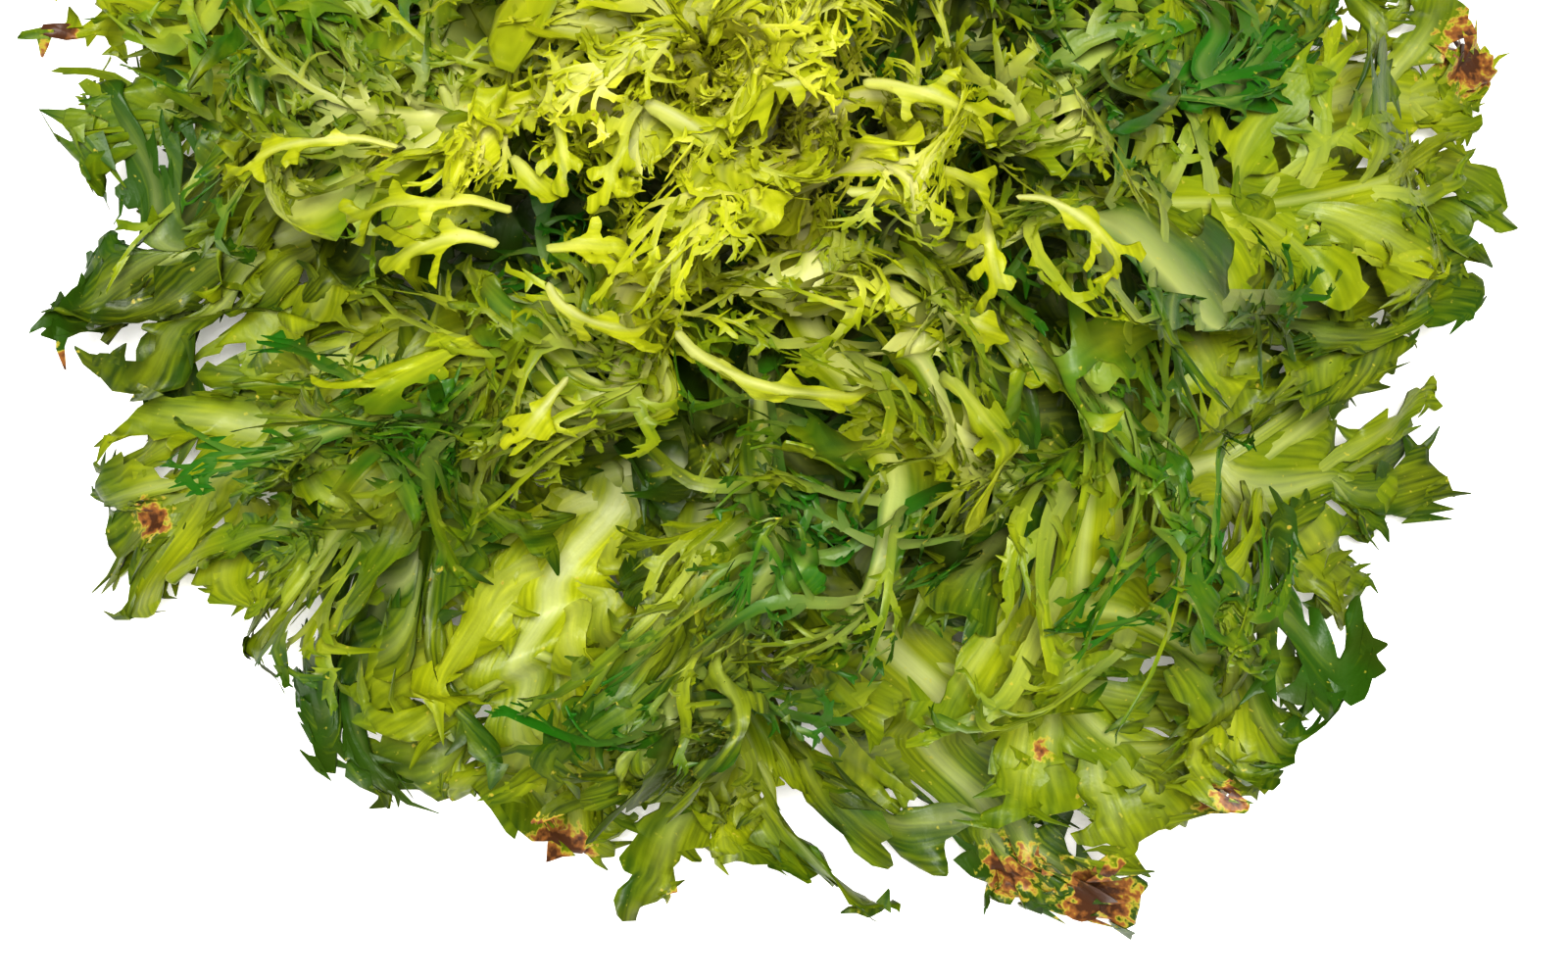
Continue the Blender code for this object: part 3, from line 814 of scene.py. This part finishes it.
def grow_rib(skin):
    """A leaf's fleshy rib, with the wavy, toothed blade that runs on beside it."""
    leaf, cut = skin.leaf, skin.leaf.cut
    rng = leaf.random
    mesh = max(cut.mesh, 2.1)
    slim = 0.6 if cut.fine else 1.0
    soft, blunt = 0.42 * mesh, 0.48 * mesh
    phase = rng.uniform(0, math.tau, 8)
    u, v = np.meshgrid(
        np.arange(-2 * mesh, leaf.length + 14, mesh), np.arange(-26, 26 + mesh, mesh), indexing="ij"
    )
    bent = v + 1.2 * np.sin(u / 19 + phase[0]) * smooth_step(5, 25, u)
    bent = bent + smooth_step(4, 12, np.abs(v)) * np.sin(u / 6 + phase[1])
    past = np.hypot(np.maximum(u - leaf.length, 0), 3 * np.minimum(u, 0))
    weight = np.exp((np.maximum(leaf.edge(u) * slim, 0.7 * mesh) - np.hypot(bent, past)) / soft)
    for n in range(4 * leaf.tier.lobes):
        side = 1 if n % 2 else -1
        spot = leaf.length * rng.uniform(0.3, 1.0)
        wide = float(leaf.edge(spot)) * slim
        out = cut.twig * rng.uniform(0.5, 1.0)
        start = (spot, side * wide * 0.8)
        t, off = capsule(u, bent, start, side * rng.uniform(0.6, 1.0), out)
        weight += np.exp((cut.twig_half * (1 - t) + blunt * t - off) / soft)
    inside = soft * np.log(weight)
    root = (np.abs(u) < 3 * mesh) & (np.abs(v) < 3 * mesh)
    (u, v, depth), faces, outline = seen_part(inside, (u, v), root)

    share = np.clip(u / leaf.length, 0, 1)
    rib = np.minimum(mix(RIB_HALF_WIDTH * slim, 1.2, share**0.6), leaf.edge(u) * 0.8 * slim)
    away, side = np.maximum(np.abs(v) - rib, 0), np.sign(v)
    flip = np.where(side > 0, 0.0, 2.1)
    roll = 0.03 * cut.curl * (np.sin(u / 7 + phase[2] + flip) + 0.8 * np.sin(u / 15 + phase[3] - flip))
    roll = roll * smooth_step(0.1, 0.4, share) + 1e-5
    near = smooth_step(0.9, 0.0, depth / 5)
    wave = np.sin(u / 2.7 + phase[4] + flip) + 0.6 * np.sin(u / 1.8 + v / 6 + phase[5])
    w = (1 - np.cos(roll * away)) / roll + 0.9 * near * wave * smooth_step(0.15, 0.5, share)
    flat_v = side * (np.abs(v) - away + np.sin(roll * away) / roll)
    across = np.clip(np.abs(v) / rib, 0, 1)
    groove = 0.35 * (1 - across**2) * smooth_step(0, 0.1, share)
    keel = mix(cut.keel, 0.6, share**0.6) * np.sqrt(1 - across**2)
    fleshy = 1 - smooth_step(0.55, 1.25, np.abs(v) / rib)
    green = leaf.greenness_and_shade(share)
    marks = np.stack(
        (fleshy * mix(1.0, 0.55, smooth_step(0.2, 0.9, share)), green + 0.05 * near, share**2, v, u),
        axis=-1,
    )
    up = np.tile((0.0, 0.0, 1.0), (len(u), 1))
    middle = np.stack((u, flat_v, w), axis=-1)
    skin.slab(middle, up, BLADE / 2 - groove, BLADE / 2 + keel, marks, faces, outline)


def on_crown(x, y):
    """The point of the crown, in millimetres, seen at a pixel, and its depth from the camera."""
    back = np.array((0.0, -math.cos(CAMERA_HEIGHT), math.sin(CAMERA_HEIGHT)))
    up = np.array((0.0, math.sin(CAMERA_HEIGHT), math.cos(CAMERA_HEIGHT)))
    lens = PICTURE_WIDTH * LENS / FILM_WIDTH
    camera = np.array(LOOKED_AT) + back * CAMERA_DISTANCE
    ray = np.array(((x - PICTURE_WIDTH / 2) / lens, 0.0, 0.0))
    ray = ray + up * (PICTURE_HEIGHT / 2 - y) / lens - back
    height = HEAD_HEIGHT
    for _ in range(20):
        point = camera + ray * (height * MM - camera[2]) / ray[2]
        away = math.hypot(point[0] / MM - CROWN_MIDDLE, point[1] / MM)
        height = float(np.interp(away, CROWN_DISTANCES, CROWN_HEIGHTS))
    return point / MM, CAMERA_DISTANCE - (point - np.array(LOOKED_AT)) @ back


def grow_crown(leaf):
    """Points, marks and faces of the bare ribs on the crown, which are laid in the head itself."""
    rows = []
    for rib in BARE_RIBS:
        (x, y, z), depth = on_crown(rib.x, rib.y)
        length = rib.length * depth / MM * FILM_WIDTH / (PICTURE_WIDTH * LENS)
        rows.append((round(x), round(y), round(z + 1), rib.heading, round(length), rib.bend, rib.half))
    x, y, z, heading, length, bend, half = np.array(rows, float).T
    heading = np.radians(heading)
    root = np.stack((x, y, z - np.where(length > 30, 7.0, 10.0)), axis=1)
    ahead = unit(np.stack((np.cos(heading), np.sin(heading), np.full(len(x), 0.45)), axis=1))
    face = unit(np.array((0.0, 0.0, 1.0)) - ahead[:, 2:] * ahead)
    ribbons = Ribbons(
        root, ahead, face, length, 14,
        lambda s: bend, lambda s: np.full(len(x), -0.9), lambda s: 0.3 * bend,
    )
    ones = np.ones(len(x))
    skin = Skin(leaf)
    lobes = Lobes(
        ribbons, ones, 0.5 * half, CROWN_RIB_FLESH * ones, CROWN_RIB_GREEN * ones, 0.25 * half
    )
    for k in range(len(x)):
        grow_lobe(skin, lobes, k)
    points, marks, faces = skin.gathered()
    marks[:, MARKS.index("wither")] = 0.0
    return points, marks, faces


def one_mesh(parts):
    """Several parts, each its points, marks and faces, as one."""
    points, marks, faces = zip(*parts)
    starts = np.cumsum([0, *map(len, points[:-1])])
    moved = [face + start for part, start in zip(faces, starts) for face in part]
    return np.concatenate(points), np.concatenate(marks), moved


def object_from(name, points, marks, faces, material):
    """A smooth mesh object with sharp margins, its marks kept as attributes of its points."""
    mesh = bpy.data.meshes.new(name)
    mesh.vertices.add(len(points))
    mesh.vertices.foreach_set("co", (points * MM).astype(np.float32).ravel())
    corners = np.concatenate([face.ravel() for face in faces])
    sizes = np.concatenate([np.full(len(face), face.shape[1]) for face in faces])
    mesh.loops.add(len(corners))
    mesh.loops.foreach_set("vertex_index", corners.astype(np.int32))
    mesh.polygons.add(len(sizes))
    mesh.polygons.foreach_set("loop_start", (np.cumsum(sizes) - sizes).astype(np.int32))
    mesh.update(calc_edges=True)
    for index, mark in enumerate(MARKS):
        layer = mesh.attributes.new(mark, "FLOAT", "POINT")
        layer.data.foreach_set("value", marks[:, index].astype(np.float32))
    mesh.shade_smooth()
    mesh.set_sharp_from_angle(angle=math.radians(75))
    mesh.materials.append(material)
    made = bpy.data.objects.new(name, mesh)
    bpy.context.scene.collection.objects.link(made)
    return made


WITHERED = (  # places on the table plane, in millimetres, where leaf tips have dried, and how wide
    (-73, -192, 17), (-54, -176, 11), (66, -180, 11), (86, -188, 13), (197, 45, 14), (-186, -53, 10),
    (-184, 32, 8), (-165, -88, 8), (70, -151, 5), (116, -163, 6), (0, -196, 8), (-20, -190, 7),
)


def wither(points, along):
    """How far the points of a leaf have dried out: 1 at the middle of a withered place."""
    x, y, _ = np.moveaxis(points, -1, 0)
    dried = np.zeros(len(points))
    for px, py, wide in WITHERED:
        dried = np.maximum(dried, 1 - np.hypot(x - px, y - py) / wide)
    return np.clip(dried, 0, 1) * mix(0.15, 1.0, along)


def grown(leaf):
    """Points, marks and faces of one leaf, laid in its place in the head."""
    skin = Skin(leaf)
    grow_rib(skin)
    lobes = lobes_of(leaf)
    fine = leaf.random.uniform(0, 1, lobes.ribbons.count) < leaf.cut.fine
    for k in np.flatnonzero(~fine):
        grow_lobe(skin, lobes, k)
    grow_antlers(skin, lobes, np.flatnonzero(fine))
    points, marks, faces = skin.gathered()
    placed = leaf.place(points)
    dried = MARKS.index("wither")
    marks[:, dried] = wither(placed, marks[:, dried])
    return placed, marks, faces


def linear(colour):
    """An sRGB hex colour as Blender's linear one."""
    channels = [int(colour[i : i + 2], 16) / 255 for i in (0, 2, 4)]
    return [c / 12.92 if c <= 0.04045 else ((c + 0.055) / 1.055) ** 2.4 for c in channels] + [1.0]


def add_node(tree, kind, links=None, **settings):
    """A shader node with its settings and its inputs, each a value or another node's output."""
    node = tree.nodes.new(kind)
    for key, value in settings.items():
        setattr(node, key, value)
    for key, value in (links or {}).items():
        socket = node.inputs[key]
        if isinstance(value, bpy.types.NodeSocket):
            tree.links.new(value, socket)
        else:
            socket.default_value = value
    return node


# Blade colours from blanched to sun-grown, by how green the point is; the darkest end also shows the
# painted shade added to the covered leaf bases
BLADE_COLOURS = (
    (0.0, "ECEAB0"),
    (0.2, "DCDA4A"),
    (0.4, "C0C41E"),
    (0.6, "98A010"),
    (0.8, "76820C"),
    (1.0, "36440A"),
)


def leaf_material(name, look, settings):
    """Living leaf: a moist, slightly translucent blade with paler, waxy rib flesh."""
    material = bpy.data.materials.new(name)
    material.use_nodes = True
    tree = material.node_tree
    tree.nodes.clear()
    flesh, green, dried, across, along = (
        add_node(tree, "ShaderNodeAttribute", attribute_name=mark).outputs["Fac"] for mark in MARKS
    )
    place = add_node(tree, "ShaderNodeTexCoord").outputs["Object"]

    # Patches placed by noise shift the blade's green a little and turn it a deeper green: partly the
    # leaf's own uneven tone, partly painted shade
    patches = add_node(
        tree, "ShaderNodeTexNoise", {"Vector": place, "Scale": 1 / settings.patch_size, "Detail": 3.0}
    ).outputs["Fac"]
    grain = add_node(
        tree, "ShaderNodeTexNoise", {"Vector": place, "Scale": 420.0, "Detail": 2.0}
    ).outputs["Fac"]
    wide = add_node(
        tree, "ShaderNodeMath", {0: across, 1: 0.001 / settings.vein_spacing}, operation="MULTIPLY"
    ).outputs[0]
    long = add_node(
        tree, "ShaderNodeMath", {0: along, 1: 0.0001 / settings.vein_spacing}, operation="MULTIPLY"
    ).outputs[0]
    lines = add_node(tree, "ShaderNodeCombineXYZ", {0: wide, 1: long}).outputs[0]
    streaks = add_node(
        tree, "ShaderNodeTexNoise", {"Vector": lines, "Scale": 1.0, "Detail": 1.0}
    ).outputs["Fac"]
    varied = add_node(
        tree, "ShaderNodeMath", {0: patches, 1: 0.30, 2: green}, operation="MULTIPLY_ADD"
    ).outputs[0]
    varied = add_node(
        tree, "ShaderNodeMath", {0: streaks, 1: 0.42, 2: varied}, operation="MULTIPLY_ADD"
    ).outputs[0]
    shade = add_node(tree, "ShaderNodeMath", {0: varied, 1: 0.36}, operation="SUBTRACT").outputs[0]
    blade_colour = add_ramp(tree, shade, BLADE_COLOURS)
    # Painted shade mixed with the leaf's own deep green: how far the patches darken is set per tier,
    # most on the middle tiers
    deep = add_node(
        tree, "ShaderNodeMapRange",
        {"Value": patches, "From Min": 0.40, "From Max": 0.60, "To Min": 0.0, "To Max": look.shaded},
    ).outputs[0]
    deep = add_node(tree, "ShaderNodeMath", {0: deep, 1: green}, operation="MULTIPLY").outputs[0]
    blade_colour = add_node(
        tree, "ShaderNodeMix", {0: deep, 6: blade_colour, 7: settings.deep_green}, data_type="RGBA"
    ).outputs[2]

    living = add_node(
        tree, "ShaderNodeMix", {0: flesh, 6: blade_colour, 7: linear(look.flesh)}, data_type="RGBA"
    ).outputs[2]

    # Tips that lay longest in the sun have dried, through yellow to brown
    dry = add_node(
        tree, "ShaderNodeMath", {0: grain, 1: 0.9, 2: dried}, operation="MULTIPLY_ADD"
    ).outputs[0]
    scorch = add_ramp(tree, dry, ((0.68, "B9AE3C"), (0.80, "94602E"), (1.0, "4E2F1A")))
    amount = add_node(
        tree, "ShaderNodeMapRange",
        {"Value": dry, "From Min": 0.62, "From Max": 0.72, "To Min": 0.0, "To Max": 1.0},
    ).outputs[0]
    final = add_node(
        tree, "ShaderNodeMix", {0: amount, 6: living, 7: scorch}, data_type="RGBA"
    ).outputs[2]
    height = add_node(
        tree, "ShaderNodeMath", {0: streaks, 1: 0.8, 2: grain}, operation="MULTIPLY_ADD"
    ).outputs[0]
    bump = add_node(
        tree, "ShaderNodeBump", {"Height": height, "Strength": 0.35, "Distance": 0.0005}
    ).outputs[0]
    blade = add_node(
        tree, "ShaderNodeBsdfPrincipled",
        {
            "Base Color": final, "Roughness": settings.roughness, "Normal": bump, "IOR": 1.42,
            "Specular IOR Level": settings.wax,
        },
    ).outputs[0]
    glow = add_node(tree, "ShaderNodeBsdfTranslucent", {"Color": final}).outputs[0]
    both = add_node(tree, "ShaderNodeMixShader", {0: look.glow, 1: blade, 2: glow}).outputs[0]
    add_node(tree, "ShaderNodeOutputMaterial", {"Surface": both})
    return material


def add_ramp(tree, value, colours):
    """The colour that a value from 0 to 1 has on a ramp of (position, hex colour)."""
    node = add_node(tree, "ShaderNodeValToRGB", {0: value})
    elements = node.color_ramp.elements
    while len(elements) < len(colours):
        elements.new(0.5)
    for element, (position, colour) in zip(elements, colours):
        element.position, element.color = position, linear(colour)
    return node.outputs[0]


def stem_material():
    """Cut stem: watery cream flesh that has turned rusty brown where the knife left it bare."""
    material = bpy.data.materials.new("cut_chicory_stem")
    material.use_nodes = True
    tree = material.node_tree
    tree.nodes.clear()
    place = add_node(tree, "ShaderNodeTexCoord").outputs["Object"]
    split = add_node(tree, "ShaderNodeSeparateXYZ", {0: place})
    flat = add_node(tree, "ShaderNodeCombineXYZ", {0: split.outputs[0], 1: split.outputs[1]}).outputs[0]
    radius = add_node(tree, "ShaderNodeVectorMath", {0: flat}, operation="LENGTH").outputs["Value"]
    rough = add_node(
        tree, "ShaderNodeTexNoise", {"Vector": place, "Scale": 300.0, "Detail": 4.0}
    ).outputs["Fac"]
    spread = add_node(
        tree, "ShaderNodeMath", {0: radius, 1: 1 / (STEM_RADIUS * MM)}, operation="MULTIPLY"
    ).outputs[0]
    rings = add_node(
        tree, "ShaderNodeMath", {0: rough, 1: 0.35, 2: spread}, operation="MULTIPLY_ADD"
    ).outputs[0]
    face = add_ramp(
        tree, rings,
        ((0.0, "CDB98A"), (0.35, "D9CBA0"), (0.6, "A9763F"), (0.75, "C2A069"), (1.0, "7E4F2A")),
    )
    side = add_ramp(tree, rough, ((0.3, "C9CF93"), (0.7, "E4DFB6")))
    above = add_node(
        tree, "ShaderNodeMapRange",
        {"Value": split.outputs[2], "From Min": 0.0003, "From Max": 0.002, "To Min": 0, "To Max": 1},
    ).outputs[0]
    colour = add_node(tree, "ShaderNodeMix", {0: above, 6: face, 7: side}, data_type="RGBA").outputs[2]
    bump = add_node(
        tree, "ShaderNodeBump", {"Height": rough, "Strength": 0.5, "Distance": 0.0006}
    ).outputs[0]
    shader = add_node(
        tree, "ShaderNodeBsdfPrincipled", {"Base Color": colour, "Roughness": 0.55, "Normal": bump}
    ).outputs[0]
    add_node(tree, "ShaderNodeOutputMaterial", {"Surface": shader})
    return material


class FriseeSettings(bpy.types.PropertyGroup):
    """The sizes and colours that a user of this head would change."""

    elevation: FloatProperty(
        name="Camera height", description="Angle of the camera above the table",
        default=CAMERA_HEIGHT, subtype="ANGLE",
    )
    distance: FloatProperty(
        name="Camera distance", description="From the camera to the point it looks at",
        default=CAMERA_DISTANCE, unit="LENGTH",
    )
    patch_size: FloatProperty(
        name="Patch size", description="Width of the deeper green patches on the blades",
        default=0.030, unit="LENGTH",
    )
    vein_spacing: FloatProperty(
        name="Vein spacing", description="Distance between the fine veins that run along a blade",
        default=0.0011, unit="LENGTH",
    )
    roughness: FloatProperty(
        name="Roughness", description="How matt the moist leaf surface is",
        default=0.38, subtype="FACTOR", min=0.0, max=1.0,
    )
    wax: FloatProperty(
        name="Wax", description="How strongly the waxy skin mirrors the room",
        default=0.25, subtype="FACTOR", min=0.0, max=1.0,
    )
    # Painted shade as well as the leaves' own deeper green: the colour that the noise patches darken
    # the blades towards
    deep_green: FloatVectorProperty(
        name="Deep green", description="Colour of the patches where leaves shaded each other",
        subtype="COLOR", size=4, default=linear("24600A"),
    )
    floor_colour: FloatVectorProperty(
        name="Floor", description="Colour of the paper under the head",
        subtype="COLOR", size=4, default=linear("F7F5F3"),
    )


# Each tier's rib flesh, from sun-grown leaves to the blanched heart, how deep its green patches are,
# which is partly painted shade and darkens the middle tiers most, and how much light its blades let
# through
Look = namedtuple("Look", "flesh shaded glow")
LOOKS = {
    "table_leaf": Look("BEC384", 0.3, 0.16),
    "outer_leaf": Look("BAC07E", 0.4, 0.16),
    "green_leaf": Look("B4BC70", 0.45, 0.14),
    "middle_leaf": Look("ACB660", 0.95, 0.12),
    "pale_leaf": Look("CCD07C", 0.75, 0.14),
    "yellow_leaf": Look("DAD892", 0.45, 0.30),
    "inner_leaf": Look("E4DDAC", 0.25, 0.42),
    "heart": Look("DCDCAA", 0.15, 0.48),
}


class FRISEE_OT_leaves(bpy.types.Operator):
    """Grow every leaf of the seven tiers in place of the frame's plain ones"""

    bl_idname = "frisee.leaves"
    bl_label = "Grow the leaves"

    def execute(self, context):
        last = len(TIERS) - 1
        surfaces = make_surfaces([ring_curve(k / last) for k in range(len(TIERS))] + [heart_curve(0)])
        number = 0
        for level, tier in enumerate(TIERS):
            material = leaf_material(f"{tier.name}_tissue", LOOKS[tier.name], context.scene.frisee)
            for index in range(tier.leaves):
                leaf = Leaf(tier, surfaces[level], index, 0.38 * level, number)
                node = f"{tier.name}_{index + 1}"
                piece = object_from(f"frilled_{node}", *grown(leaf), material)
                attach(piece, "root")
                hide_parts(node)
                number += 1
        return {"FINISHED"}


class FRISEE_OT_heart(bpy.types.Operator):
    """Grow the small blanched leaves at the centre as one piece with their bud"""

    bl_idname = "frisee.heart"
    bl_label = "Grow the heart"

    def execute(self, context):
        number = sum(tier.leaves for tier in TIERS)
        surfaces = make_surfaces([heart_curve(level) for _, level in HEART_RINGS])
        parts = []
        for ring, ((leaves, _), surface) in enumerate(zip(HEART_RINGS, surfaces)):
            tier = Tier("heart", leaves, HEART_LOBES, 3.0)
            for index in range(leaves):
                leaf = Leaf(tier, surface, index, 0.4 * ring, number)
                parts.append(grown(leaf))
                number += 1
        # The innermost leaf also bears the bare ribs of the crown
        leaf.cut = CROWN_CUT
        parts.append(grow_crown(leaf))
        material = leaf_material("heart_tissue", LOOKS["heart"], context.scene.frisee)
        piece = object_from("frilled_heart", *one_mesh(parts), material)
        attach(piece, "root")
        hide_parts("heart")
        return {"FINISHED"}


class FRISEE_OT_stem(bpy.types.Operator):
    """Give the frame's stem its cream flesh and browned cut"""

    bl_idname = "frisee.stem"
    bl_label = "Finish the stem"

    def execute(self, context):
        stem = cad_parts["cut_stem"]
        material = stem_material()
        if stem.material_slots:
            for slot in stem.material_slots:
                slot.material = material
        else:
            stem.data.materials.append(material)
        return {"FINISHED"}


# The stage, in metres and watts
FLOOR_HALF_WIDTH = 3.0
ROOM_LIGHT = 0.28
LAMP_TARGET = (0.0, 0.0, 0.05)
Lamp = namedtuple("Lamp", "name position size power")
LAMPS = (
    Lamp("window", (0.06, -0.12, 1.35), 0.5, 31.0),
    Lamp("front_fill", (-0.6, -0.9, 1.1), 1.2, 8.0),
)


class FRISEE_OT_stage(bpy.types.Operator):
    """Lay the pale floor and set the soft lights and the camera"""

    bl_idname = "frisee.stage"
    bl_label = "Set the stage"

    def execute(self, context):
        scene, settings = context.scene, context.scene.frisee
        mesh = bpy.data.meshes.new("floor")
        wide = FLOOR_HALF_WIDTH
        mesh.from_pydata(
            [(-wide, -wide, 0), (wide, -wide, 0), (wide, wide, 0), (-wide, wide, 0)], [], [(0, 1, 2, 3)]
        )
        floor = bpy.data.objects.new("floor", mesh)
        scene.collection.objects.link(floor)
        paper = bpy.data.materials.new("white_paper_floor")
        paper.use_nodes = True
        shader = paper.node_tree.nodes["Principled BSDF"]
        shader.inputs["Base Color"].default_value = settings.floor_colour
        shader.inputs["Roughness"].default_value = 0.8
        shader.inputs["Emission Color"].default_value = settings.floor_colour
        # Painted light: the paper glows, which keeps it white beyond the head, and the glow fades out
        # beneath it
        tree = paper.node_tree
        place = add_node(tree, "ShaderNodeTexCoord").outputs["Object"]
        away = add_node(tree, "ShaderNodeVectorMath", {0: place}, operation="LENGTH").outputs["Value"]
        glow = add_node(
            tree, "ShaderNodeMapRange",
            {"Value": away, "From Min": 0.13, "From Max": 0.21, "To Min": 0.0, "To Max": 0.5},
        ).outputs[0]
        tree.links.new(glow, shader.inputs["Emission Strength"])
        mesh.materials.append(paper)

        world = bpy.data.worlds.new("soft_room")
        world.use_nodes = True
        sky = world.node_tree.nodes["Background"]
        sky.inputs["Color"].default_value = (1.0, 1.0, 1.0, 1.0)
        sky.inputs["Strength"].default_value = ROOM_LIGHT
        scene.world = world
        for lamp in LAMPS:
            add_lamp(scene, lamp)

        target = Vector(LOOKED_AT)
        back = Vector((0, -math.cos(settings.elevation), math.sin(settings.elevation)))
        camera = bpy.data.objects.new("camera", bpy.data.cameras.new("camera"))
        camera.data.lens, camera.data.sensor_width = LENS, FILM_WIDTH
        camera.location = target + back * settings.distance
        camera.rotation_mode = "QUATERNION"
        camera.rotation_quaternion = (-back).to_track_quat("-Z", "Y")
        scene.collection.objects.link(camera)
        scene.camera = camera
        scene.view_settings.view_transform = "Standard"
        scene.view_settings.gamma = 0.86
        scene.view_settings.exposure = 0.14
        return {"FINISHED"}


def add_lamp(scene, lamp):
    """A square area lamp that shines at the middle of the head."""
    made = bpy.data.objects.new(lamp.name, bpy.data.lights.new(lamp.name, "AREA"))
    made.data.size, made.data.energy = lamp.size, lamp.power
    made.location = lamp.position
    made.rotation_mode = "QUATERNION"
    aim = Vector(LAMP_TARGET) - Vector(lamp.position)
    made.rotation_quaternion = aim.to_track_quat("-Z", "Y")
    scene.collection.objects.link(made)


class FRISEE_PT_panel(bpy.types.Panel):
    """The head's pieces, in the order in which they are made"""

    bl_idname = "FRISEE_PT_panel"
    bl_label = "Frisee head"
    bl_space_type = "VIEW_3D"
    bl_region_type = "UI"
    bl_category = "Frisee"

    def draw(self, context):
        for name in FriseeSettings.__annotations__:
            self.layout.prop(context.scene.frisee, name)
        for operator in OPERATORS:
            self.layout.operator(operator.bl_idname)


OPERATORS = (FRISEE_OT_leaves, FRISEE_OT_heart, FRISEE_OT_stem, FRISEE_OT_stage)
CLASSES = (FriseeSettings, *OPERATORS, FRISEE_PT_panel)


def register():
    for item in CLASSES:
        bpy.utils.register_class(item)
    bpy.types.Scene.frisee = PointerProperty(type=FriseeSettings)


def unregister():
    del bpy.types.Scene.frisee
    for item in reversed(CLASSES):
        bpy.utils.unregister_class(item)


def main():
    register()
    bpy.ops.frisee.leaves()
    bpy.ops.frisee.heart()
    bpy.ops.frisee.stem()
    bpy.ops.frisee.stage()


if __name__ == "__main__":
    main()
